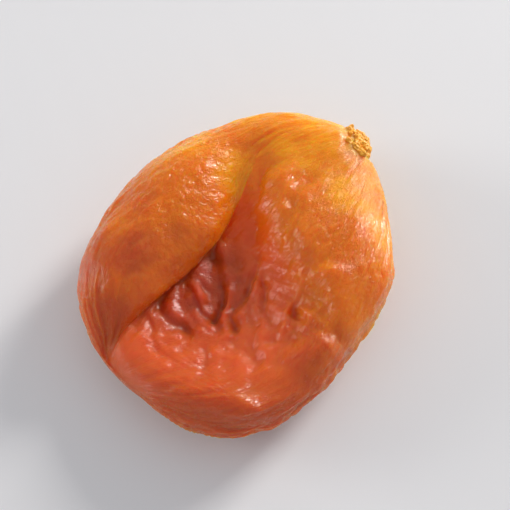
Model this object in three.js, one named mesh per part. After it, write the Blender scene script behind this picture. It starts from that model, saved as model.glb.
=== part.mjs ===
// A dried apricot, stoned and dried whole, lying hollow side up. Millimetres, +Z up.
// +X is the stem end, +Y the side of the big lobe, and the origin lies under the middle of the fruit.
// One closed skin: a rounded disc whose top falls into a suture crease and the hollow that the stone left.
import * as THREE from "three";
import { mergeVertices } from "three/addons/utils/BufferGeometryUtils.js";

// Driving dimensions. Heights are above mid level until the fruit is set down at the end.
const meanRadius = 20.8;
const topThickness = 12; // through the middle, before the hollow is taken out
const rimThickness = { mean: 12.2, towardsLobe: 1.4, atEnds: -0.6 };
// How the outline departs from a circle: each harmonic's share along X and along Y.
const outlineShape = [
  { turns: 1, alongX: 0.3, alongY: -0.2 },
  { turns: 2, alongX: 1.9, alongY: 1.1 },
  { turns: 3, alongX: 0.7, alongY: 0.2 },
  { turns: 4, alongX: -0.2, alongY: 0.2 },
  { turns: 5, alongX: 0.3, alongY: 0.4 },
];
const underBow = 1.8; // the rim of the underside stands this much higher than its middle
const rest = { depth: 5.92, smoothTo: 0.28, fullFrom: 0.6 }; // the flat spot it lies on, below mid level
const facets = 33; // cuts along each edge of the starting octahedron
// Degrees each slice of the round fruit is turned about X, so a row of facets runs down the crease.
const rowTurn = { middle: 15.5, towardsStem: 15, towardsEnds: 20 };

// The suture crease runs from the top of the fruit to the tip, with the big lobe rolled over it.
const crease = {
  line: [[15, 9.5], [9.5, 7.1], [4.7, 5.3], [-1, 3.8], [-8.5, 3.6], [-16, 3], [-23.5, 1.2]],
  depth: [0, 1.7, 4.0, 5.0, 4.8, 3.5, 0.8],
  lip: [6, 5.5, 4.6, 4.6, 4.8, 4.6, 5], // shoulder of the big lobe, back from the crease
  reach: [4, 5, 12, 24, 26, 20, 9], // hollow floor, out from the crease until it has risen
  floorFlatness: 1.5, // 1 rises evenly; more keeps the floor low for longer
  gatherWidth: 2.6, // rows of facets are drawn together this near the crease
  gatherShare: 0.8,
  overhang: 1.0, // how far the roll leans over the floor
  swelling: { height: 1.1, back: 6.5, width: 5 }, // of the big lobe, behind its shoulder
};
// The small lobe stands out of the hollow behind a softer edge of its own.
const lobeEdge = {
  line: [[11, 6.7], [5.8, 1], [3.4, -5.2], [2.6, -12.5], [-0.6, -20]],
  held: [0.3, 0.8, 0.85, 0.7, 0.2], // share of the hollow's fall that the lobe doesn't take part in
  rise: [0, 1.0, 1.4, 1.0, 0],
  width: 2.2,
  crown: 7, // full height is kept this far back from the edge
  fade: 8,
};
// Folds of the shrunken skin in the hollow and on its right wall. A negative depth is a ridge.
const folds = [
  { line: [[15.4, 1.6], [8.2, -0.6], [2.2, -3.4]], width: 0.9, depth: 0.5 },
  { line: [[10.4, -1.3], [7, -3.2], [3.6, -6.3]], width: 0.9, depth: 0.4 },
  { line: [[11, 5.9], [6.5, 2.4], [2.5, -0.6]], width: 0.8, depth: 0.5 },
  { line: [[10.5, 3.2], [7.2, 1.2], [4, -1]], width: 0.7, depth: 0.3 },
  { line: [[-0.8, 3.1], [-3, -0.2], [-8.5, -3.8]], width: 0.8, depth: 0.9 },
  { line: [[1.5, -1], [-1.5, -3.1], [-5.5, -4.4], [-9.4, -10.7]], width: 0.8, depth: 0.9 },
  { line: [[1.2, -3.5], [-2.4, -7.3], [-5.7, -11.8]], width: 0.6, depth: 0.45 },
  { line: [[1.8, -9.4], [-1.9, -9.6], [-5, -11.4]], width: 0.6, depth: -0.35 },
  { line: [[-10.6, 2.8], [-11.3, -0.9], [-11.7, -3.9]], width: 0.6, depth: 0.5 },
  { line: [[-7.3, 0.9], [-7.4, -1.4], [-7.6, -3.7]], width: 0.5, depth: 0.5 },
  { line: [[-4.5, 2.2], [-6.2, -2.4], [-10.5, -6.5]], width: 0.6, depth: 0.45 },
  { line: [[-1.5, -3.2], [-5.2, -7.5], [-10.2, -13.2]], width: 0.7, depth: 0.5 },
  { line: [[-13.5, 2.2], [-15.2, -1.5], [-16.2, -5.2]], width: 0.6, depth: 0.4 },
  { line: [[2.6, -6.2], [-1.6, -11.5], [-6.2, -15.2]], width: 0.6, depth: 0.35 },
  { line: [[-9.2, -4.2], [-12.5, -7.2], [-14.2, -10.5]], width: 0.6, depth: 0.35 },
  { line: [[2.8, -8.4], [1.8, -12.5], [0.1, -18]], width: 1.2, depth: 0.6 },
  { line: [[-0.8, -6.4], [2.3, -8.5], [6.8, -13.9]], width: 1.2, depth: -0.35 },
  { line: [[-6.5, -14.3], [-3.2, -15.7], [0.4, -17.3]], width: 1.0, depth: -0.5 },
];
const foldLip = { share: 0.35, back: 1.9, width: 1.1 }; // skin pushed up beside each groove
const foldWander = { by: 1.0, size: 6.5, unevenness: 0.5 }; // how far folds stray, and how uneven they are
const puckers = { size: 4.4, height: 0.4 }; // of the floor of the hollow
// Thin raised welts on the rim, square to the skin.
const welts = [
  { line: [[-18.1, -8.6], [-14.6, -15.1], [-4.1, -19.2]], width: 0.8, height: 0.3 },
  { line: [[18.2, -9.4], [11.9, -14.8], [4.4, -18.5]], width: 0.7, height: 0.3 },
  { line: [[11.9, 15], [16.9, 11.9], [20.4, 7]], width: 0.7, height: 0.2 },
];
// Where the stone was pushed out: a torn mouth in the stem end, with pulp standing in it.
const tear = {
  at: [22.4, 0.6, 2.8],
  pulp: 0.9,
  spread: 2.7,
  crumb: 2.4,
  slit: { aside: -2.3, below: -1.2, width: 0.9, height: 2.2, depth: 1.3 },
};
const swellings = [{ size: 17, height: 0.25 }, { size: 8.5, height: 0.12 }];
// Shallow wrinkles that run from the stem end to the tip, round the rim and over the underside.
const wrinkle = { around: 24, onRim: 0.14, underneath: 0.28, sway: 1.4 };
const suture = { aside: -1.5, width: 1.4, depth: 0.7 }; // its faint trace on the underside

const { smoothstep, clamp, lerp, degToRad } = THREE.MathUtils;
const upward = new THREE.Vector3(0, 0, 1);
const alongFruit = new THREE.Vector3(1, 0, 0);
const bell = (distance, width) => Math.exp(-((distance / width) ** 2));

// A line is followed as short straight runs of the smooth curve through its points.
function follow({ line }) {
  const corners = line.map(([x, y]) => new THREE.Vector2(x, y));
  const points = new THREE.SplineCurve(corners).getPoints(line.length * 7);
  const runs = [];
  let length = 0;
  for (let i = 0; i + 1 < points.length; i++) {
    const way = points[i + 1].clone().sub(points[i]);
    runs.push({ from: points[i], way, length: way.length(), before: length });
    length += way.length();
  }
  return { runs, length };
}

// Where a point lies beside a line: the share of the line passed, the distance off it and the way off it.
// Left of the line counts as positive.
function beside(x, y, path) {
  let best = { off: Infinity };
  for (const { from, way, length, before } of path.runs) {
    const t = clamp(((x - from.x) * way.x + (y - from.y) * way.y) / length ** 2, 0, 1);
    const toX = x - from.x - t * way.x;
    const toY = y - from.y - t * way.y;
    const distance = Math.hypot(toX, toY);
    if (distance >= Math.abs(best.off)) continue;
    const side = way.x * toY - way.y * toX < 0 ? -1 : 1;
    const scale = side / Math.max(distance, 1e-6);
    const share = (before + t * length) / path.length;
    best = { share, off: distance * side, acrossX: toX * scale, acrossY: toY * scale };
  }
  return best;
}

// Evenly spaced values become a smooth function of a share from 0 to 1.
function evenly(values) {
  const curve = new THREE.SplineCurve(values.map((value) => new THREE.Vector2(0, value)));
  return (share) => curve.getPoint(share).y;
}

// Slow, uneven swelling of the flesh, from -1 to 1.
function swelling(x, y, z, size, seed) {
  const a = (x * 2 * Math.PI) / size;
  const b = (y * 2 * Math.PI) / size;
  const c = (z * 2 * Math.PI) / size;
  const first = Math.sin(a + 1.7 * seed + 0.8 * Math.sin(0.9 * b + seed));
  const second = Math.sin(1.1 * b + 2.3 * seed + 0.7 * Math.sin(c + 0.6 * seed));
  const third = Math.sin(0.8 * b - 0.6 * a + seed) * Math.sin(1.3 * c + 0.5 * a + 0.4 * seed);
  return (first * second + third) / 2;
}

const creasePath = follow(crease);
const creaseDepth = evenly(crease.depth);
const creaseLip = evenly(crease.lip);
const creaseReach = evenly(crease.reach);
const deepest = Math.max(...crease.depth);
const edgePath = follow(lobeEdge);
const edgeHeld = evenly(lobeEdge.held);
const edgeRise = evenly(lobeEdge.rise);
const foldPaths = folds.map(follow);
const weltPaths = welts.map(follow);

function outlineRadius(angle) {
  let radius = meanRadius;
  for (const { turns, alongX, alongY } of outlineShape) {
    radius += alongX * Math.cos(turns * angle) + alongY * Math.sin(turns * angle);
  }
  return radius;
}

// The plain disc: a flat top, a half-round rim and a flat underside, walked evenly from top to bottom.
function onDisc(round) {
  const angle = Math.atan2(round.y, round.x);
  const radius = outlineRadius(angle);
  const { mean, towardsLobe, atEnds } = rimThickness;
  const rim = (mean + towardsLobe * Math.sin(angle) + atEnds * Math.cos(2 * angle)) / 2;
  const flat = radius - rim;
  const wholeWalk = 2 * flat + Math.PI * rim;
  const walk = (Math.acos(clamp(round.z, -1, 1)) / Math.PI) * wholeWalk;
  const bend = clamp((walk - flat) / rim, 0, Math.PI);
  const onRim = bend > 0 && bend < Math.PI;
  const out = onRim ? flat + rim * Math.sin(bend) : Math.min(walk, wholeWalk - walk);
  const share = clamp(out / radius, 0, 1);
  const half = topThickness / 2 + (rim - topThickness / 2) * smoothstep(share, 0, 1);
  return {
    x: out * Math.cos(angle),
    y: out * Math.sin(angle),
    z: half * Math.cos(bend),
    share,
    onTop: smoothstep(Math.cos(bend), 0, 0.45),
    under: Math.max(-Math.cos(bend), 0),
    square: new THREE.Vector3(Math.sin(bend), 0, Math.cos(bend)).applyAxisAngle(upward, angle),
  };
}

// The small lobe: how high it rises, and the share of the hollow's fall that it is held out of.
function smallLobe({ x, y }) {
  const { share, off } = beside(x, y, edgePath);
  const step = 0.5 + 0.5 * Math.tanh(off / lobeEdge.width);
  const fade = bell(Math.max(off - lobeEdge.crown, 0), lobeEdge.fade);
  return { rise: edgeRise(share) * step * fade, held: edgeHeld(share) * step };
}

// How far the top falls at the crease and in the hollow, and how far the skin moves across the crease.
function hollow({ x, y, onTop }, held) {
  const { share, off, acrossX, acrossY } = beside(x, y, creasePath);
  const depth = creaseDepth(share);
  const full = clamp(depth / deepest, 0, 1) * onTop;
  const gathered = crease.gatherShare * full * bell(off, crease.gatherWidth);
  const ontoLobe = -off * (1 - gathered);
  const reach = ontoLobe > 0 ? creaseLip(share) : creaseReach(share);
  const flatness = ontoLobe > 0 ? 1 : crease.floorFlatness;
  const slope = Math.cos((clamp(Math.abs(ontoLobe) / reach, 0, 1) ** flatness * Math.PI) / 2) ** 2;
  let fall = slope * (1 - held * smoothstep(-ontoLobe, 0, 3));
  let lean = 0;
  let swell = 0;
  if (ontoLobe > 0) {
    const roll = 1 - Math.sqrt(1 - clamp(1 - ontoLobe / reach, 0, 1) ** 2);
    const { height, back, width } = crease.swelling;
    fall = lerp(slope, roll, smoothstep(full, 0.45, 0.95)); // a shallow stretch is a soft valley
    lean = crease.overhang * full * Math.sin(Math.PI * fall);
    swell = height * full * bell(ontoLobe - back, width) * smoothstep(ontoLobe, 0, back);
  }
  const shift = lean - off * gathered;
  const pucker = ontoLobe > 0 ? 0 : puckers.height * slope * (1 - held) * full;
  return { fall: depth * onTop * fall - swell, pucker, x: acrossX * shift, y: acrossY * shift };
}

// All the folds together, as a height. They stray from their lines and are deeper in some places.
function foldedHeight({ x, y }) {
  const { by, size, unevenness } = foldWander;
  const strayX = x + by * swelling(x, y, 0, size, 11);
  const strayY = y + by * swelling(x, y, 0, size, 12);
  const uneven = 1 + unevenness * swelling(x, y, 0, size, 13);
  let height = 0;
  folds.forEach(({ width, depth }, i) => {
    const { share, off } = beside(strayX, strayY, foldPaths[i]);
    const groove = bell(off, off > 0 ? 0.8 * width : 1.3 * width);
    const lip = foldLip.share * bell(off - foldLip.back * width, foldLip.width * width);
    height -= depth * uneven * (groove - lip) * Math.sin(Math.PI * share) ** 0.6;
  });
  return height;
}

// Everything that stands out square to the skin.
function raised(round, { x, y, z, share, onTop, under }) {
  let out = 0;
  welts.forEach(({ width, height }, i) => {
    const at = beside(x, y, weltPaths[i]);
    const fade = Math.sin(Math.PI * at.share) ** 0.6 * smoothstep(onTop - under, -0.5, 0);
    out += height * fade * bell(at.off, width);
  });
  swellings.forEach(({ size, height }, i) => {
    out += height * swelling(x, y, z, size, i + 1);
  });

  const girth = Math.hypot(round.y, round.z);
  const sway = wrinkle.sway * Math.sin(4 * round.x + 1) + 0.9 * swelling(x, y, z, 12, 4);
  const wave = Math.sin(wrinkle.around * Math.atan2(round.z, round.y) + sway);
  const waveHeight = wrinkle.onRim * (1 - onTop) + (wrinkle.underneath - wrinkle.onRim) * under;
  out += wave * waveHeight * smoothstep(girth, 0.25, 0.8) * (0.6 + 0.4 * swelling(x, y, z, 15, 5));
  out -= suture.depth * bell(y - suture.aside, suture.width) * under ** 2;

  const [tearX, tearY, tearZ] = tear.at;
  const away = Math.hypot(x - tearX, y - tearY, z - tearZ);
  out += tear.pulp * (1 + 0.6 * swelling(x, y, z, tear.crumb, 7)) * bell(away, tear.spread);
  const { slit } = tear;
  const inSlit = bell(y - tearY - slit.aside, slit.width) * bell(z - tearZ - slit.below, slit.height);
  out -= x > 0 ? slit.depth * inSlit * smoothstep(share, 0.9, 1) : 0;

  const pressed = under * (1 - smoothstep(share, rest.smoothTo, rest.fullFrom)); // by the fruit's own weight
  return out * (1 - pressed);
}

// Carries a point of the round fruit, given as a direction, to its place on the dried one.
function driedPoint(direction) {
  const { middle, towardsStem, towardsEnds } = rowTurn;
  const turn = degToRad(middle + towardsStem * direction.x + towardsEnds * direction.x ** 2);
  const round = direction.clone().applyAxisAngle(alongFruit, -turn);
  const disc = onDisc(round);
  const { rise, held } = smallLobe(disc);
  const sunk = hollow(disc, held);
  const drawnIn = sunk.pucker * swelling(disc.x, disc.y, 0, puckers.size, 14);
  const height = disc.z - sunk.fall + drawnIn + disc.onTop * (rise + foldedHeight(disc));
  const point = new THREE.Vector3(disc.x + sunk.x, disc.y + sunk.y, height);
  point.addScaledVector(disc.square, raised(round, disc));
  point.z = Math.max(point.z + disc.under * underBow * disc.share ** 2.2, -rest.depth);
  return point;
}

function driedFruit() {
  const ball = new THREE.OctahedronGeometry(1, facets);
  ball.deleteAttribute("normal");
  ball.deleteAttribute("uv");
  const skin = mergeVertices(ball, 1e-4);
  const places = skin.getAttribute("position");
  const direction = new THREE.Vector3();
  for (let i = 0; i < places.count; i++) {
    const dried = driedPoint(direction.fromBufferAttribute(places, i).normalize());
    places.setXYZ(i, dried.x, dried.y, dried.z);
  }
  skin.computeBoundingBox();
  const { min, max } = skin.boundingBox;
  skin.translate(-(min.x + max.x) / 2, -(min.y + max.y) / 2, -min.z);
  skin.computeVertexNormals();
  return skin;
}

const apricotSkin = new THREE.MeshStandardMaterial({ color: 0xc65a1c, roughness: 0.45, metalness: 0 });

const apricot = new THREE.Mesh(driedFruit(), apricotSkin);
apricot.name = "apricot";

const part = new THREE.Group();
part.add(apricot);
export default part;
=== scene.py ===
# A dried apricot, stoned and dried whole, lying hollow side up on a pale table.
# Its shape is worked out in millimetres about its middle. +X is the stem end, +Y the side of the big lobe.
import math
import bpy
import numpy as np
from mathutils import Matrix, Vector


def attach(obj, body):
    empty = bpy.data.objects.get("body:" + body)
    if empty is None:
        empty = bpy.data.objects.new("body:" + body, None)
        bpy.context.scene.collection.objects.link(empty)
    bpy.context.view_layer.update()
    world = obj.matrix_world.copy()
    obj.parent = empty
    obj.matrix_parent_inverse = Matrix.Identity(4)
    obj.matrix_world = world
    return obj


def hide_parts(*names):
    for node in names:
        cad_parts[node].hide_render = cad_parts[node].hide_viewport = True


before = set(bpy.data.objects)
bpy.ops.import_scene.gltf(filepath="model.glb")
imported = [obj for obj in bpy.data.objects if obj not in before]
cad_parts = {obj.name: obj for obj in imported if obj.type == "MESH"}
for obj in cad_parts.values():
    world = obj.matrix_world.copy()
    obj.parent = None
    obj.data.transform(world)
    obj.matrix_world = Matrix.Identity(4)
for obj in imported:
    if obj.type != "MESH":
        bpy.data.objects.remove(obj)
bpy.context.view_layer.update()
scene = bpy.context.scene
mm = 0.001


# General helpers

def toLinear(hexColour):  # sRGB "#rrggbb" to the linear values that shaders use
    values = [int(hexColour[i:i + 2], 16) / 255 for i in (1, 3, 5)]
    return [v / 12.92 if v <= 0.04045 else ((v + 0.055) / 1.055) ** 2.4 for v in values] + [1.0]


# An input takes a value, the socket that feeds it, or a node whose first output feeds it.
def addNode(tree, kind, inputs=None, **settings):
    node = tree.nodes.new(kind)
    for name, value in settings.items():
        setattr(node, name, value)
    for key, value in (inputs or {}).items():
        if isinstance(value, bpy.types.Node):
            value = next(socket for socket in value.outputs if socket.enabled)
        if isinstance(value, bpy.types.NodeSocket):
            tree.links.new(value, node.inputs[key])
        else:
            node.inputs[key].default_value = value
    return node


def smooth(value, low, high):
    t = np.clip((value - low) / (high - low), 0, 1)
    return t * t * (3 - 2 * t)


def bell(distance, width):
    return np.exp(-(distance / width) ** 2)


def tapered(share):  # full along most of a line and running out at both ends
    return np.sin(math.pi * share) ** 0.6


def splineAt(points, at):  # smooth curve through points, read at fractions of their numbering
    p = np.array(points, float)
    i = np.clip(at.astype(int), 0, len(p) - 2)
    t = (at - i)[:, None]
    before, start, end, after = p[np.maximum(i - 1, 0)], p[i], p[i + 1], p[np.minimum(i + 2, len(p) - 1)]
    leave, arrive = (end - before) / 2, (after - start) / 2
    cubic = 2 * start - 2 * end + leave + arrive
    return cubic * t ** 3 + (3 * end - 3 * start - 2 * leave - arrive) * t ** 2 + leave * t + start


def evenly(values, share):  # evenly spaced values, read smoothly at a share from 0 to 1
    return splineAt([[value] for value in values], share * (len(values) - 1))[:, 0]


def beside(x, y, line):  # share of the line passed, distance off it (left is positive), and the way off it
    points = splineAt(line, np.linspace(0, len(line) - 1, len(line) * 7 + 1))
    ways = np.diff(points, axis=0)
    lengths = np.hypot(ways[:, 0], ways[:, 1])
    passed = np.concatenate([[0], np.cumsum(lengths)])
    nearest = np.full(len(x), np.inf)
    share, acrossX, acrossY = np.zeros(len(x)), np.zeros(len(x)), np.zeros(len(x))
    for start, way, length, before in zip(points, ways, lengths, passed):
        t = np.clip(((x - start[0]) * way[0] + (y - start[1]) * way[1]) / length ** 2, 0, 1)
        toX, toY = x - start[0] - t * way[0], y - start[1] - t * way[1]
        distance = np.hypot(toX, toY)
        side = np.where(way[0] * toY - way[1] * toX < 0, -1, 1)
        closer = distance < np.abs(nearest)
        nearest = np.where(closer, distance * side, nearest)
        share = np.where(closer, (before + t * length) / passed[-1], share)
        acrossX = np.where(closer, toX * side / np.maximum(distance, 1e-6), acrossX)
        acrossY = np.where(closer, toY * side / np.maximum(distance, 1e-6), acrossY)
    return share, nearest, acrossX, acrossY


def swelling(x, y, z, size, seed):  # slow, uneven swelling of the flesh, from -1 to 1, another for each seed
    a, b, c = (2 * math.pi / size * value for value in (x, y, z))
    first = np.sin(a + 1.7 * seed + 0.8 * np.sin(0.9 * b + seed))
    second = np.sin(1.1 * b + 2.3 * seed + 0.7 * np.sin(c + 0.6 * seed))
    third = np.sin(0.8 * b - 0.6 * a + seed) * np.sin(1.3 * c + 0.5 * a + 0.4 * seed)
    return (first * second + third) / 2


def roundedCube(cuts):  # directions of an evenly cut cube blown up to a ball, and its square faces
    steps = np.tan(np.linspace(-math.pi / 4, math.pi / 4, cuts + 1))
    a, b = np.meshgrid(steps, steps, indexing="ij")
    one = np.ones_like(a)
    corner = np.arange(cuts)[:, None] * (cuts + 1) + np.arange(cuts)[None, :]
    square = np.stack([corner, corner + cuts + 1, corner + cuts + 2, corner + 1], -1).reshape(-1, 4)
    sides = [(a, b, one), (b, a, -one), (one, a, b), (-one, b, a), (b, one, a), (a, -one, b)]
    points = np.vstack([np.stack(side, -1).reshape(-1, 3) for side in sides])
    faces = np.vstack([square + i * (cuts + 1) ** 2 for i in range(len(sides))])
    points /= np.linalg.norm(points, axis=1)[:, None]
    _, first, whichOne = np.unique(np.round(points, 7), axis=0, return_index=True, return_inverse=True)
    return points[first], whichOne.reshape(-1)[faces]


# The fruit

fruit = {
    "cuts": 128,  # along each edge of the starting cube: 0.2 mm squares
    "meanRadius": 20.8,
    "topThickness": 12,
    "rimThickness": {"mean": 12.2, "towardsLobe": 1.4, "atEnds": -0.6},
    "outline": [(1, 0.3, -0.2), (2, 1.9, 1.1), (3, 0.7, 0.2), (4, -0.2, 0.2), (5, 0.3, 0.4)],
    "underBow": {"height": 1.8, "power": 2.2},
    "rest": {"depth": 5.92, "smoothTo": 0.28, "fullFrom": 0.6},
    "rowTurn": {"middle": 15.5, "towardsStem": 15, "towardsEnds": 20},
    "crease": {
        "line": [(15, 9.5), (9.5, 7.1), (4.7, 5.3), (-1, 3.8), (-8.5, 3.6), (-16, 3), (-23.5, 1.2)],
        "depth": [0, 1.7, 4.0, 5.0, 4.8, 3.5, 0.8],
        "lip": [6, 5.5, 4.6, 4.6, 4.8, 4.6, 5],
        "reach": [4, 5, 12, 24, 26, 20, 9], "floorFlatness": 1.5,
        "gatherWidth": 2.6, "gatherShare": 0.8, "overhang": 1.0, "sharpFrom": (0.45, 0.95), "wallWidth": 3,
        "swelling": {"height": 1.1, "back": 6.5, "width": 5},
    },
    "lobeEdge": {
        "line": [(11, 6.7), (5.8, 1), (3.4, -5.2), (2.6, -12.5), (-0.6, -20)],
        "held": [0.3, 0.8, 0.85, 0.7, 0.2], "rise": [0, 1.0, 1.4, 1.0, 0], "width": 2.2,
        "crown": 7, "fade": 8,
    },
    "folds": [  # line, width, depth; a negative depth is a ridge
        ([(15.4, 1.6), (8.2, -0.6), (2.2, -3.4)], 0.9, 0.5),
        ([(10.4, -1.3), (7, -3.2), (3.6, -6.3)], 0.9, 0.4),
        ([(11, 5.9), (6.5, 2.4), (2.5, -0.6)], 0.8, 0.5),
        ([(10.5, 3.2), (7.2, 1.2), (4, -1)], 0.7, 0.3),
        ([(-0.8, 3.1), (-3, -0.2), (-8.5, -3.8)], 0.8, 0.9),
        ([(1.5, -1), (-1.5, -3.1), (-5.5, -4.4), (-9.4, -10.7)], 0.8, 0.9),
        ([(1.2, -3.5), (-2.4, -7.3), (-5.7, -11.8)], 0.6, 0.45),
        ([(1.8, -9.4), (-1.9, -9.6), (-5, -11.4)], 0.6, -0.35),
        ([(-10.6, 2.8), (-11.3, -0.9), (-11.7, -3.9)], 0.6, 0.5),
        ([(-7.3, 0.9), (-7.4, -1.4), (-7.6, -3.7)], 0.5, 0.5),
        ([(-4.5, 2.2), (-6.2, -2.4), (-10.5, -6.5)], 0.6, 0.45),
        ([(-1.5, -3.2), (-5.2, -7.5), (-10.2, -13.2)], 0.7, 0.5),
        ([(-13.5, 2.2), (-15.2, -1.5), (-16.2, -5.2)], 0.6, 0.4),
        ([(2.6, -6.2), (-1.6, -11.5), (-6.2, -15.2)], 0.6, 0.35),
        ([(-9.2, -4.2), (-12.5, -7.2), (-14.2, -10.5)], 0.6, 0.35),
        ([(2.8, -8.4), (1.8, -12.5), (0.1, -18)], 1.2, 0.6),
        ([(-0.8, -6.4), (2.3, -8.5), (6.8, -13.9)], 1.2, -0.35),
        ([(-6.5, -14.3), (-3.2, -15.7), (0.4, -17.3)], 1.0, -0.5),
    ],
    "foldSides": {"left": 0.8, "right": 1.3},  # each side's width as a share of the fold's
    "foldLip": {"share": 0.35, "back": 1.9, "width": 1.1},
    "foldWander": {"by": 1.0, "size": 6.5, "unevenness": 0.5},
    "puckers": {"size": 4.4, "height": 0.4, "fadeFrom": (-1, 6), "atStem": 0.35},
    "fineWrinkles": {"onTop": 0.4, "inHollow": 0.3, "girth": (0.1, 0.45)},
    "welts": [  # line, width, height
        ([(-18.1, -8.6), (-14.6, -15.1), (-4.1, -19.2)], 0.8, 0.3),
        ([(18.2, -9.4), (11.9, -14.8), (4.4, -18.5)], 0.7, 0.3),
        ([(11.9, 15), (16.9, 11.9), (20.4, 7)], 0.7, 0.2),
    ],
    "tear": {"at": (22.4, 0.6, 2.8), "pulp": 0.9, "spread": 2.7, "crumb": 2.4},
    "slit": {"aside": -2.3, "below": -1.2, "width": 0.9, "height": 2.2, "depth": 1.3},
    "swellings": [(17, 0.25), (8.5, 0.12)],
    "wrinkle": {
        "around": 24, "onRim": 0.14, "underneath": 0.28, "girth": (0.25, 0.8),
        "sway": 1.4, "stray": 0.9, "straySize": 12, "patchSize": 15,
    },
    "suture": {"aside": -1.5, "width": 1.4, "depth": 0.7},
}


def onDisc(ball):  # the plain disc that the fruit dried down to, walked evenly from top to bottom
    angle = np.arctan2(ball[:, 1], ball[:, 0])
    radius = fruit["meanRadius"]
    for turns, alongX, alongY in fruit["outline"]:
        radius = radius + alongX * np.cos(turns * angle) + alongY * np.sin(turns * angle)
    thick = fruit["rimThickness"]
    rim = (thick["mean"] + thick["towardsLobe"] * np.sin(angle) + thick["atEnds"] * np.cos(2 * angle)) / 2
    flat = radius - rim
    wholeWalk = 2 * flat + math.pi * rim
    walk = np.arccos(np.clip(ball[:, 2], -1, 1)) / math.pi * wholeWalk
    bend = np.clip((walk - flat) / rim, 0, math.pi)
    onRim = (bend > 0) & (bend < math.pi)
    out = np.where(onRim, flat + rim * np.sin(bend), np.minimum(walk, wholeWalk - walk))
    share = np.clip(out / radius, 0, 1)
    middle = fruit["topThickness"] / 2
    return {
        "x": out * np.cos(angle), "y": out * np.sin(angle),
        "z": (middle + (rim - middle) * smooth(share, 0, 1)) * np.cos(bend),
        "share": share, "onTop": smooth(np.cos(bend), 0, 0.45), "under": np.maximum(-np.cos(bend), 0),
        "square": np.stack([np.sin(bend) * np.cos(angle), np.sin(bend) * np.sin(angle), np.cos(bend)], 1),
    }


def smallLobe(disc):  # how high it rises, and the share of the hollow's fall that it is held out of
    edge = fruit["lobeEdge"]
    share, off, _, _ = beside(disc["x"], disc["y"], edge["line"])
    step = 0.5 + 0.5 * np.tanh(off / edge["width"])
    rise = evenly(edge["rise"], share) * step * bell(np.maximum(off - edge["crown"], 0), edge["fade"])
    return rise, evenly(edge["held"], share) * step


def hollowAt(disc, held):  # how far the top falls, and how far the skin moves across the crease
    crease = fruit["crease"]
    share, off, acrossX, acrossY = beside(disc["x"], disc["y"], crease["line"])
    depth = evenly(crease["depth"], share)
    full = np.clip(depth / max(crease["depth"]), 0, 1) * disc["onTop"]
    gathered = crease["gatherShare"] * full * bell(off, crease["gatherWidth"])
    ontoLobe = -off * (1 - gathered)
    lobe = ontoLobe > 0
    reach = np.where(lobe, evenly(crease["lip"], share), evenly(crease["reach"], share))
    flatness = np.where(lobe, 1, crease["floorFlatness"])
    slope = np.cos(np.clip(np.abs(ontoLobe) / reach, 0, 1) ** flatness * math.pi / 2) ** 2
    roll = 1 - np.sqrt(1 - np.clip(1 - ontoLobe / reach, 0, 1) ** 2)
    sharp = smooth(full, *crease["sharpFrom"])
    wall = slope * (1 - held * smooth(-ontoLobe, 0, crease["wallWidth"]))
    fall = np.where(lobe, slope + (roll - slope) * sharp, wall)
    lean = np.where(lobe, crease["overhang"] * full * np.sin(math.pi * fall), 0)
    swell = crease["swelling"]
    raised = swell["height"] * full * bell(ontoLobe - swell["back"], swell["width"])
    raised = np.where(lobe, raised * smooth(ontoLobe, 0, swell["back"]), 0)
    shift = lean - off * gathered
    floor = np.where(lobe, 0, slope * (1 - held)) * full
    return depth * disc["onTop"] * fall - raised, acrossX * shift, acrossY * shift, floor, full * fall


def foldedHeight(disc):  # folds stray off their lines, and each pushes up a lip on its left
    sides, lip, wander = fruit["foldSides"], fruit["foldLip"], fruit["foldWander"]
    strays = [swelling(disc["x"], disc["y"], 0, wander["size"], seed) for seed in (11, 12, 13)]
    x, y = disc["x"] + wander["by"] * strays[0], disc["y"] + wander["by"] * strays[1]
    height = np.zeros(len(x))
    for line, width, depth in fruit["folds"]:
        share, off, _, _ = beside(x, y, line)
        groove = bell(off, np.where(off > 0, sides["left"], sides["right"]) * width)
        pushedUp = lip["share"] * bell(off - lip["back"] * width, lip["width"] * width)
        height -= depth * (groove - pushedUp) * tapered(share)
    return height * (1 + wander["unevenness"] * strays[2])


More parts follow.
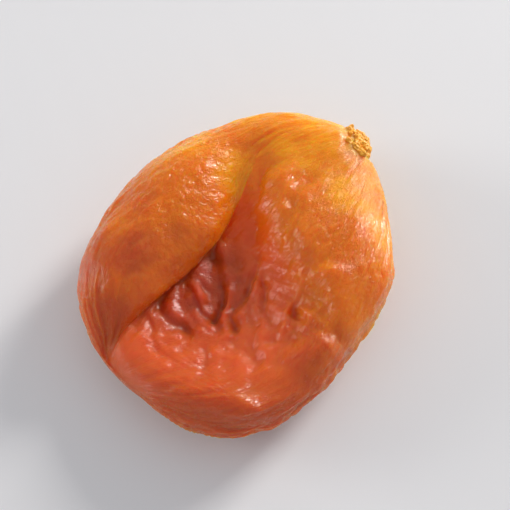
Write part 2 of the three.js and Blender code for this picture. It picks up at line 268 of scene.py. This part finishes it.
def raisedAt(ball, disc):  # everything that stands out square to the skin
    x, y, z, share = disc["x"], disc["y"], disc["z"], disc["share"]
    onTop, under = disc["onTop"], disc["under"]
    out = np.zeros(len(x))
    for i, (size, height) in enumerate(fruit["swellings"]):
        out += height * swelling(x, y, z, size, i + 1)
    for line, width, height in fruit["welts"]:
        along, off, _, _ = beside(x, y, line)
        out += height * tapered(along) * smooth(onTop - under, -0.5, 0) * bell(off, width)
    wrinkle = fruit["wrinkle"]
    sway = wrinkle["sway"] * np.sin(4 * ball[:, 0] + 1)
    sway += wrinkle["stray"] * swelling(x, y, z, wrinkle["straySize"], 4)
    wave = np.sin(wrinkle["around"] * np.arctan2(ball[:, 2], ball[:, 1]) + sway)
    waveHeight = wrinkle["onRim"] * (1 - onTop) + (wrinkle["underneath"] - wrinkle["onRim"]) * under
    girth = np.hypot(ball[:, 1], ball[:, 2])
    patches = 0.6 + 0.4 * swelling(x, y, z, wrinkle["patchSize"], 5)
    out += wave * waveHeight * smooth(girth, *wrinkle["girth"]) * patches
    suture, tear, slit, rest = (fruit[name] for name in ("suture", "tear", "slit", "rest"))
    out -= suture["depth"] * bell(y - suture["aside"], suture["width"]) * under ** 2
    tearX, tearY, tearZ = tear["at"]
    torn = bell(np.sqrt((x - tearX) ** 2 + (y - tearY) ** 2 + (z - tearZ) ** 2), tear["spread"])
    out += tear["pulp"] * (1 + 0.6 * swelling(x, y, z, tear["crumb"], 7)) * torn
    inSlit = bell(y - tearY - slit["aside"], slit["width"])
    inSlit = inSlit * bell(z - tearZ - slit["below"], slit["height"])
    inSlit = np.where(x > 0, inSlit * smooth(share, 0.9, 1), 0)
    pressed = under * (1 - smooth(share, rest["smoothTo"], rest["fullFrom"]))
    return (out - slit["depth"] * inSlit) * (1 - pressed), torn, inSlit, pressed


# What the skin's relief and colours go by, marked on the points as shares. Wrinkles are deepest on the rim,
# shallow in the hollow, and run out at both ends of the fruit. Puckers keep off the wall at the stem end.
def skinMarks(x, y, girth, onRim, floor, inCrease, torn, inSlit, pressed):
    hollow = flesh["hollowShare"] * smooth(floor, *flesh["hollowFrom"])
    valley = hollow * smooth(x, *flesh["valleyFrom"])
    atMiddle, perLength, perWidth = flesh["ripeningAndLitSide"]
    fine, puckers = fruit["fineWrinkles"], fruit["puckers"]
    wrinkled = (fine["onTop"] + (1 - fine["onTop"]) * onRim) * (1 - (1 - fine["inHollow"]) * floor)
    offWall = np.interp(x, puckers["fadeFrom"], (1, puckers["atStem"]))
    return {
        # partly ripeness and partly painted light: the stem end, toward the lamps, is made yellower
        "ripenessAndLitSide": atMiddle + perLength * x + perWidth * y,
        # the valley's colour is partly its own tone and partly a painted glow of light shining through toward
        # the lamps
        "hollowTint": (hollow - valley) / (1 - valley), "valleyToneAndGlow": valley,
        # painted shade: darker red where the crease runs deepest
        "creaseShade": flesh["creaseShadeShare"] * smooth(inCrease, *flesh["creaseFrom"]),
        # painted shade: darker red down in the slit beside the tear
        "tornTint": smooth(torn, *flesh["pulpFrom"]), "slitShade": smooth(inSlit, *flesh["slitFrom"]),
        "wetness": smooth(floor, *flesh["wetFrom"]), "onRim": onRim, "torn": torn,
        "wrinkling": wrinkled * smooth(girth, *fine["girth"]) * (1 - pressed),
        "puckering": (0.1 + floor * offWall) * (1 - pressed),
    }


def driedFruit():
    directions, faces = roundedCube(fruit["cuts"])
    turn = fruit["rowTurn"]
    x = directions[:, 0]
    angle = np.radians(turn["middle"] + turn["towardsStem"] * x + turn["towardsEnds"] * x ** 2)
    y = directions[:, 1] * np.cos(angle) + directions[:, 2] * np.sin(angle)
    z = directions[:, 2] * np.cos(angle) - directions[:, 1] * np.sin(angle)
    girth = np.hypot(y, z)
    ball = np.stack([x, y, z], 1)
    disc = onDisc(ball)
    rise, held = smallLobe(disc)
    fall, shiftX, shiftY, floor, inCrease = hollowAt(disc, held)
    raised, torn, inSlit, pressed = raisedAt(ball, disc)
    puckers = fruit["puckers"]
    drawnIn = puckers["height"] * floor * swelling(disc["x"], disc["y"], 0, puckers["size"], 14)
    height = disc["z"] - fall + drawnIn + disc["onTop"] * (rise + foldedHeight(disc))
    place = np.stack([disc["x"] + shiftX, disc["y"] + shiftY, height], 1)
    place += disc["square"] * raised[:, None]
    bow = fruit["underBow"]
    place[:, 2] += disc["under"] * bow["height"] * disc["share"] ** bow["power"]
    place[:, 2] = np.maximum(place[:, 2], -fruit["rest"]["depth"])
    lowest, highest = place.min(0), place.max(0)
    place -= np.array([*(lowest + highest)[:2] / 2, lowest[2]])
    # Fibres run from the stem end to the tip, so the grain is a length along X and a direction round it.
    around = np.stack([y, z], 1) / np.maximum(girth, 1e-6)[:, None]
    grain = np.column_stack([x, around]) * fruit["meanRadius"]
    onRim = 1 - disc["onTop"]
    marks = skinMarks(place[:, 0], place[:, 1], girth, onRim, floor, inCrease, torn, inSlit, pressed)
    return place * mm, faces, grain * mm, marks


def newObject(name, mesh):
    obj = bpy.data.objects.new(name, mesh)
    scene.collection.objects.link(obj)
    return obj


# Dried fruit flesh: cell walls collapsed to a gel of pectin and sugar with no dry surface left.
# To the eye it is amber, lit from inside, redder where it is thick and yellower where light gets through.

flesh = {
    "tip": "#c85c20", "middle": "#e17e08", "stemEnd": "#f1a90a",  # less to more ripe along the fruit, and painted light too: yellower at the stem end, which faces the lamps, and redder at the tip away from them
    "ripeningAndLitSide": (0.474, 0.0247, 0.009),  # ripeness at the middle, and what a millimetre along and across adds
    "blotchiness": 0.184,
    "hollow": "#e16a36", "hollowShare": 0.9, "hollowFrom": (0, 0.65),  # a mark where it starts and is full
    "valley": "#fa6a16", "valleyFrom": (-4, 5),  # millimetres along the fruit; toward the lamps the hollow turns brighter red-orange, partly its own tone and partly a painted glow of light shining through
    # painted shade: a dark red laid deep in the crease and in the slit, where shade falls
    "paintedShade": "#a8320c", "creaseShadeShare": 0.5, "creaseFrom": (0.8, 1), "slitFrom": (0.3, 0.9),
    # on the rim the pale specks are partly the sugar's own paler spots and partly a painted sheen, the pale
    # haze that grazing light gives the edge
    "pulp": "#ec9a24", "pulpFrom": (0.35, 0.8), "bloomAndSheen": "#e2ab82", "bloomAndSheenShare": 0.3,
    "blotchSize": 7.0 * mm,  # about six patches of ripeness along the fruit
    "mottleSize": 1.1 * mm,  # specks where the sugar has dried paler
    "wrinkleAcross": 0.45 * mm, "wrinkleAlong": 0.75 * mm, "wrinkleDepth": 0.15 * mm,
    "poreSize": 0.45 * mm, "poreDepth": 0.03 * mm,  # really about 0.1 mm across, drawn coarser to show
    "roughness": (0.14, 0.34), "hollowRoughness": 0.09, "wetFrom": (0.05, 0.5),
    "lightDepth": 3.8 * mm,  # how far light travels inside before it is lost
}


def driedApricotFlesh():
    material = bpy.data.materials.new("driedApricotFlesh")
    material.use_nodes = True
    tree = material.node_tree
    tree.nodes.clear()
    marked = {}
    tintsAndShades = ("hollowTint", "valleyToneAndGlow", "creaseShade", "tornTint", "slitShade")
    for name in (*tintsAndShades, "ripenessAndLitSide", "onRim", "wetness"):
        marked[name] = addNode(tree, "ShaderNodeAttribute", attribute_name=name).outputs["Fac"]
    place = addNode(tree, "ShaderNodeTexCoord").outputs["Object"]
    blotch = addNode(tree, "ShaderNodeTexNoise", {
        "Vector": place, "Scale": 1 / flesh["blotchSize"], "Detail": 3.0, "Roughness": 0.5})
    mottle = addNode(tree, "ShaderNodeTexNoise", {
        "Vector": place, "Scale": 1 / flesh["mottleSize"], "Detail": 4.0, "Roughness": 0.6})

    # Colour: ripeness from tip to stem end, partly painted light, pushed about by the blotches, then the
    # parts of the fruit, with painted shade in the crease and slit.
    uneven = addNode(tree, "ShaderNodeMapRange", {
        "Value": blotch, "From Min": 0.3, "From Max": 0.7,
        "To Min": -flesh["blotchiness"], "To Max": flesh["blotchiness"]}, interpolation_type="SMOOTHSTEP")
    ripeAndLit = addNode(tree, "ShaderNodeMath", {0: marked["ripenessAndLitSide"], 1: uneven}, operation="ADD")
    colour = addNode(tree, "ShaderNodeValToRGB", {"Fac": ripeAndLit})
    ramp = colour.color_ramp
    ramp.interpolation = "EASE"
    ramp.elements.new(0.55)
    for stop, name in zip(ramp.elements, ("tip", "middle", "stemEnd")):
        stop.color = toLinear(flesh[name])
    mottled = addNode(tree, "ShaderNodeMapRange", {
        "Value": mottle, "From Min": 0.35, "From Max": 0.75, "To Min": 0.0, "To Max": flesh["bloomAndSheenShare"],
    }, interpolation_type="SMOOTHSTEP")
    # kept to the rim, where the pale specks are also a painted sheen of grazing light
    bloomAndSheen = addNode(tree, "ShaderNodeMath", {0: mottled, 1: marked["onRim"]}, operation="MULTIPLY")
    # The crease and slit layers are painted shade; the rim's pale specks are partly a painted sheen; the
    # valley layer is partly a painted glow.
    layers = [
        (marked["hollowTint"], "hollow"), (marked["valleyToneAndGlow"], "valley"), (marked["creaseShade"], "paintedShade"),
        (bloomAndSheen, "bloomAndSheen"), (marked["tornTint"], "pulp"), (marked["slitShade"], "paintedShade"),
    ]
    for share, name in layers:
        layer = {0: share, 6: colour, 7: toLinear(flesh[name])}
        colour = addNode(tree, "ShaderNodeMix", layer, data_type="RGBA")

    # Gloss: the skin is satin, the moist hollow shines, and both vary with the mottling.
    least, most = flesh["roughness"]
    skinGloss = addNode(tree, "ShaderNodeMapRange", {
        "Value": mottle, "From Min": 0.3, "From Max": 0.7, "To Min": least, "To Max": most,
    }, interpolation_type="SMOOTHSTEP")
    gloss = addNode(tree, "ShaderNodeMix", {0: marked["wetness"], 2: skinGloss, 3: flesh["hollowRoughness"]})

    # The finest wrinkles follow the fibres: stretched along the fruit and close together across it.
    grain = addNode(tree, "ShaderNodeAttribute", attribute_name="grain").outputs["Vector"]
    sizes = (flesh["wrinkleAlong"], flesh["wrinkleAcross"], flesh["wrinkleAcross"])
    stretched = addNode(tree, "ShaderNodeVectorMath", {0: grain, 1: sizes}, operation="DIVIDE")
    wrinkles = addNode(tree, "ShaderNodeTexNoise", {
        "Vector": stretched, "Scale": 1.0, "Detail": 2.0, "Roughness": 0.55, "Distortion": 0.6})
    pores = addNode(tree, "ShaderNodeTexVoronoi", {
        "Vector": place, "Scale": 1 / flesh["poreSize"], "Randomness": 1.0}, feature="F1")
    wrinkled = addNode(tree, "ShaderNodeBump", {"Distance": flesh["wrinkleDepth"], "Height": wrinkles})
    relief = addNode(tree, "ShaderNodeBump", {
        "Strength": 0.6, "Distance": flesh["poreDepth"], "Height": pores, "Normal": wrinkled})
    shader = addNode(tree, "ShaderNodeBsdfPrincipled", {
        "Base Color": colour, "Roughness": gloss, "IOR": 1.36, "Normal": relief, "Coat Normal": relief,
        "Subsurface Weight": 1.0, "Subsurface Radius": (1.0, 0.32, 0.08),
        "Subsurface Scale": flesh["lightDepth"], "Subsurface Anisotropy": 0.4,
        "Coat Weight": 0.45, "Coat Roughness": 0.07, "Coat IOR": 1.35,
    }, subsurface_method="RANDOM_WALK")
    addNode(tree, "ShaderNodeOutputMaterial", {"Surface": shader})
    return material


place, faces, grain, marks = driedFruit()
mesh = bpy.data.meshes.new("apricotSkin")
mesh.from_pydata(place.tolist(), [], faces.tolist())
for name, values in marks.items():
    mesh.attributes.new(name, "FLOAT", "POINT").data.foreach_set("value", values.astype(np.float32))
fibres = mesh.attributes.new("grain", "FLOAT_VECTOR", "POINT")
fibres.data.foreach_set("vector", grain.astype(np.float32).ravel())
mesh.update()
apricot = newObject("apricotSkin", mesh)
print("fruit", len(mesh.vertices), "points")


# Relief of the shrunken skin, as a Geometry Nodes tree on the fruit

skinRelief = {
    "wrinkleSpacing": 0.8 * mm, "wrinkleLength": 1.4 * mm, "wrinkleDepth": 0.2 * mm,
    "furrowSpacing": 2.2 * mm, "furrowLength": 5.0 * mm, "furrowDepth": 0.34 * mm,
    "puckerSize": 1.3 * mm, "puckerDepth": 0.38 * mm, "seed": 3.0,
}


def newTree(name, values):  # an empty tree with an input for each value
    tree = bpy.data.node_groups.new(name, "GeometryNodeTree")
    tree.interface.new_socket("Geometry", in_out="INPUT", socket_type="NodeSocketGeometry")
    tree.interface.new_socket("Geometry", in_out="OUTPUT", socket_type="NodeSocketGeometry")
    for title, value in values.items():
        kind = "NodeSocketInt" if isinstance(value, int) else "NodeSocketFloat"
        tree.interface.new_socket(title, in_out="INPUT", socket_type=kind)
    tree.interface.new_socket("Material", in_out="INPUT", socket_type="NodeSocketMaterial")
    return tree, addNode(tree, "NodeGroupInput").outputs


def bake(obj, tree, values, material):  # runs a tree once and keeps its result as a plain mesh
    modifier = obj.modifiers.new(tree.name, "NODES")
    modifier.node_group = tree
    for item in tree.interface.items_tree:
        if item.in_out == "INPUT" and item.name in values:
            modifier[item.identifier] = values[item.name]
        if item.in_out == "INPUT" and item.name == "Material":
            modifier[item.identifier] = material
    evaluated = obj.evaluated_get(bpy.context.evaluated_depsgraph_get())
    plain = bpy.data.meshes.new_from_object(evaluated)
    obj.modifiers.remove(modifier)
    return plain


def finishTree(tree, geometry, given):  # one plain mesh with its material
    realized = addNode(tree, "GeometryNodeRealizeInstances", {0: geometry})
    painted = addNode(tree, "GeometryNodeSetMaterial", {"Geometry": realized, "Material": given["Material"]})
    addNode(tree, "NodeGroupOutput", {0: painted})


def skinReliefTree():
    tree, given = newTree("skinRelief", skinRelief)
    named = "GeometryNodeInputNamedAttribute"
    grain = addNode(tree, named, {"Name": "grain"}, data_type="FLOAT_VECTOR")
    wrinkling = addNode(tree, named, {"Name": "wrinkling"}, data_type="FLOAT")
    puckering = addNode(tree, named, {"Name": "puckering"}, data_type="FLOAT")

    # Thin valleys between rounded ridges, where a noise stretched along the fibres crosses its middle value.
    height = 0.0
    for size in ("wrinkle", "furrow"):
        length, spacing, depth = (given[size + measure] for measure in ("Length", "Spacing", "Depth"))
        cell = addNode(tree, "ShaderNodeCombineXYZ", {0: length, 1: spacing, 2: spacing})
        stretched = addNode(tree, "ShaderNodeVectorMath", {0: grain, 1: cell}, operation="DIVIDE")
        noise = addNode(tree, "ShaderNodeTexNoise", {
            "Vector": stretched, "W": given["seed"], "Scale": 0.5, "Detail": 1.5, "Roughness": 0.5,
            "Distortion": 0.5}, noise_dimensions="4D")
        toMiddle = addNode(tree, "ShaderNodeMath", {0: noise, 1: 0.5}, operation="PINGPONG")
        ridges = addNode(tree, "ShaderNodeMapRange", {
            "Value": toMiddle, "From Min": 0.5, "From Max": 0.34, "To Min": -1.0, "To Max": 0.35,
        }, interpolation_type="SMOOTHSTEP")
        height = addNode(tree, "ShaderNodeMath", {0: ridges, 1: depth, 2: height}, operation="MULTIPLY_ADD")
    wrinkles = addNode(tree, "ShaderNodeMath", {0: height, 1: wrinkling}, operation="MULTIPLY")

    # Puckers: the floor of the hollow draws in unevenly, with no direction of its own.
    position = addNode(tree, "GeometryNodeInputPosition")
    scale = addNode(tree, "ShaderNodeMath", {0: 0.6, 1: given["puckerSize"]}, operation="DIVIDE")
    noise = addNode(tree, "ShaderNodeTexNoise", {
        "Vector": position, "W": given["seed"], "Scale": scale, "Detail": 2.0, "Roughness": 0.5,
        "Distortion": 0.8}, noise_dimensions="4D")
    uneven = addNode(tree, "ShaderNodeMapRange", {"Value": noise, "To Min": -1.0, "To Max": 1.0})
    depth = addNode(tree, "ShaderNodeMath", {0: puckering, 1: given["puckerDepth"]}, operation="MULTIPLY")
    relief = addNode(tree, "ShaderNodeMath", {0: uneven, 1: depth, 2: wrinkles}, operation="MULTIPLY_ADD")

    normal = addNode(tree, "GeometryNodeInputNormal")
    offset = addNode(tree, "ShaderNodeVectorMath", {0: normal, "Scale": relief}, operation="SCALE")
    moved = addNode(tree, "GeometryNodeSetPosition", {"Geometry": given["Geometry"], "Offset": offset})
    smoothed = addNode(tree, "GeometryNodeSetShadeSmooth", {"Geometry": moved, "Shade Smooth": True})
    finishTree(tree, smoothed, given)
    return tree


apricot.data = bake(apricot, skinReliefTree(), skinRelief, driedApricotFlesh())
for point in apricot.data.vertices:
    point.co.z = max(point.co.z, 0)  # the table holds up what the relief would push through it
print("skin relief", len(apricot.data.vertices), "points")


# Torn pulp: soft yellow flesh that came out with the stone and dried in flakes. It scatters light at once,
# so it is paler and duller than the skin.

pulp = {
    "colour": "#fcc144", "shade": "#ee9a24", "grainSize": 0.5 * mm, "grainDepth": 0.12 * mm,
    "roughness": 0.3, "lightDepth": 0.25 * mm,
    "tornFrom": 0.4,  # flakes stick where the skin is torn at least this much
    "flakeTilt": ((-0.7, -0.7, 0.0), (0.7, 0.7, 6.3)),  # least and most, in radians
    "flakeShape": ((0.5, 0.4, 0.25), (1.2, 0.9, 0.6)),  # least and most length, width and thickness
    "tree": {
        "flakeSize": 1.5 * mm, "flakesPerSquareMetre": 2.6e6, "raggedness": 0.5 * mm,
        "grainSize": 0.5 * mm, "meshSize": 0.09 * mm, "seed": 5,
    },
}


def driedApricotPulp():
    material = bpy.data.materials.new("driedApricotPulp")
    material.use_nodes = True
    tree = material.node_tree
    tree.nodes.clear()
    place = addNode(tree, "ShaderNodeTexCoord").outputs["Object"]
    grains = addNode(tree, "ShaderNodeTexNoise", {
        "Vector": place, "Scale": 1 / pulp["grainSize"], "Detail": 3.0})
    colour = addNode(tree, "ShaderNodeMix", {
        0: grains, 6: toLinear(pulp["shade"]), 7: toLinear(pulp["colour"])}, data_type="RGBA")
    relief = addNode(tree, "ShaderNodeBump", {"Distance": pulp["grainDepth"], "Height": grains})
    shader = addNode(tree, "ShaderNodeBsdfPrincipled", {
        "Base Color": colour, "Roughness": pulp["roughness"], "Normal": relief, "IOR": 1.44,
        "Subsurface Weight": 0.4, "Subsurface Radius": (1.0, 0.85, 0.5),
        "Subsurface Scale": pulp["lightDepth"]}, subsurface_method="RANDOM_WALK")
    addNode(tree, "ShaderNodeOutputMaterial", {"Surface": shader})
    return material


def tornPulpTree():
    tree, given = newTree("tornPulp", pulp["tree"])
    torn = addNode(tree, "GeometryNodeInputNamedAttribute", {"Name": "torn"}, data_type="FLOAT")
    inside = addNode(tree, "FunctionNodeCompare", {0: torn, 1: pulp["tornFrom"]}, operation="GREATER_THAN")
    spots = addNode(tree, "GeometryNodeDistributePointsOnFaces", {
        "Mesh": given["Geometry"], "Selection": inside, "Density": given["flakesPerSquareMetre"],
        "Seed": given["seed"]}, distribute_method="RANDOM")
    radius = addNode(tree, "ShaderNodeMath", {0: given["flakeSize"], 1: 0.5}, operation="MULTIPLY")
    flake = addNode(tree, "GeometryNodeMeshIcoSphere", {"Radius": radius, "Subdivisions": 3})
    least, most = pulp["flakeTilt"]
    tilt = addNode(tree, "FunctionNodeRandomValue", {
        0: least, 1: most, "Seed": given["seed"]}, data_type="FLOAT_VECTOR")
    turned = addNode(tree, "FunctionNodeRotateRotation", {
        "Rotation": spots.outputs["Rotation"], "Rotate By": tilt}, rotation_space="LOCAL")
    least, most = pulp["flakeShape"]
    sized = addNode(tree, "FunctionNodeRandomValue", {
        0: least, 1: most, "Seed": given["seed"]}, data_type="FLOAT_VECTOR")
    flakes = addNode(tree, "GeometryNodeInstanceOnPoints", {
        "Points": spots, "Instance": flake, "Rotation": turned, "Scale": sized})
    apart = addNode(tree, "GeometryNodeRealizeInstances", {0: flakes})

    # Dried juice sticks the flakes together, so they become one lump, and then its surface is torn ragged.
    solid = addNode(tree, "GeometryNodeMeshToVolume", {
        "Mesh": apart, "Density": 1.0, "Voxel Size": given["meshSize"],
        "Interior Band Width": given["grainSize"]}, resolution_mode="VOXEL_SIZE")
    lump = addNode(tree, "GeometryNodeVolumeToMesh", {
        "Volume": solid, "Voxel Size": given["meshSize"], "Threshold": 0.1, "Adaptivity": 0.0},
        resolution_mode="VOXEL_SIZE")
    position = addNode(tree, "GeometryNodeInputPosition")
    scale = addNode(tree, "ShaderNodeMath", {0: 1.0, 1: given["grainSize"]}, operation="DIVIDE")
    noise = addNode(tree, "ShaderNodeTexNoise", {"Vector": position, "Scale": scale, "Detail": 3.0})
    uneven = addNode(tree, "ShaderNodeMapRange", {"Value": noise, "To Min": -1.0, "To Max": 1.0})
    height = addNode(tree, "ShaderNodeMath", {0: uneven, 1: given["raggedness"]}, operation="MULTIPLY")
    normal = addNode(tree, "GeometryNodeInputNormal")
    offset = addNode(tree, "ShaderNodeVectorMath", {0: normal, "Scale": height}, operation="SCALE")
    ragged = addNode(tree, "GeometryNodeSetPosition", {"Geometry": lump, "Offset": offset})
    smoothed = addNode(tree, "GeometryNodeSetShadeSmooth", {"Geometry": ragged, "Shade Smooth": True})
    finishTree(tree, smoothed, given)
    return tree


tornPulp = newObject("tornPulp", apricot.data.copy())
tornPulp.data = bake(tornPulp, tornPulpTree(), pulp["tree"], driedApricotPulp())
print("torn pulp", len(tornPulp.data.polygons), "faces")

for piece in (apricot, tornPulp):
    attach(piece, "root")
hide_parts("apricot")


# Floor, lights and camera

studio = {
    "floor": "#e9ebef", "floorSize": 3.0, "floorRoughness": 0.9, "floorShine": 0.05,
    "world": "#fcfcff", "worldStrength": 0.46,
    "aim": (0.001, 0.0, 0.006), "azimuth": -45, "elevation": 62, "distance": 0.155, "lens": 85,
    "lamp": "#fff9f2",
    "keyPower": 0.58, "keySize": 0.18, "keyAt": (0.39, 0.38, 0.29), "keySpread": 90,
    "rimPower": 0.066, "rimSize": 0.05, "rimAt": (0.40, 0.46, 0.09), "rimSpread": 40,
    "fillPower": 0.8, "fillSize": 0.2, "fillAt": (-0.46, 0.06, 0.15),
}


def paleTable():
    half = studio["floorSize"] / 2
    mesh = bpy.data.meshes.new("table")
    corners = [(-half, -half, 0), (half, -half, 0), (half, half, 0), (-half, half, 0)]
    mesh.from_pydata(corners, [], [(0, 1, 2, 3)])
    material = bpy.data.materials.new("paintedTableTop")  # matte paint, sprayed on: pale, even, no shine
    material.use_nodes = True
    shader = material.node_tree.nodes["Principled BSDF"]
    shader.inputs["Base Color"].default_value = toLinear(studio["floor"])
    shader.inputs["Roughness"].default_value = studio["floorRoughness"]
    shader.inputs["Specular IOR Level"].default_value = studio["floorShine"]
    mesh.materials.append(material)
    newObject("table", mesh)


def aimed(obj, at):  # sets a lamp or camera up at a place, looking at the fruit
    aim = Vector(studio["aim"])
    obj.location = at
    obj.rotation_mode = "QUATERNION"
    obj.rotation_quaternion = (aim - at).to_track_quat("-Z", "Y")
    scene.collection.objects.link(obj)


def softLight(name, offset, size, power, spread=180):  # a lower spread keeps its light off the table
    azimuth = math.radians(studio["azimuth"])
    right = Vector((math.cos(azimuth), math.sin(azimuth), 0))
    away = Vector((-math.sin(azimuth), math.cos(azimuth), 0))
    light = bpy.data.lights.new(name, "AREA")
    light.size, light.energy, light.color = size, power, toLinear(studio["lamp"])[:3]
    light.spread = math.radians(spread)
    at = Vector(studio["aim"]) + right * offset[0] + away * offset[1] + Vector((0, 0, offset[2]))
    aimed(bpy.data.objects.new(name, light), at)


paleTable()
softLight("keyLight", studio["keyAt"], studio["keySize"], studio["keyPower"], studio["keySpread"])
softLight("rimLight", studio["rimAt"], studio["rimSize"], studio["rimPower"], studio["rimSpread"])
softLight("fillLight", studio["fillAt"], studio["fillSize"], studio["fillPower"])

world = bpy.data.worlds.new("studioAir")
world.use_nodes = True
world.node_tree.nodes["Background"].inputs["Color"].default_value = toLinear(studio["world"])
world.node_tree.nodes["Background"].inputs["Strength"].default_value = studio["worldStrength"]
scene.world = world
scene.view_settings.view_transform = "Standard"

azimuth, elevation = math.radians(studio["azimuth"]), math.radians(studio["elevation"])
level = math.cos(elevation)
towardsCamera = Vector((math.sin(azimuth) * level, -math.cos(azimuth) * level, math.sin(elevation)))
lens = bpy.data.cameras.new("camera")
lens.lens = studio["lens"]
camera = bpy.data.objects.new("camera", lens)
aimed(camera, Vector(studio["aim"]) + towardsCamera * studio["distance"])
scene.camera = camera
print("studio ready")
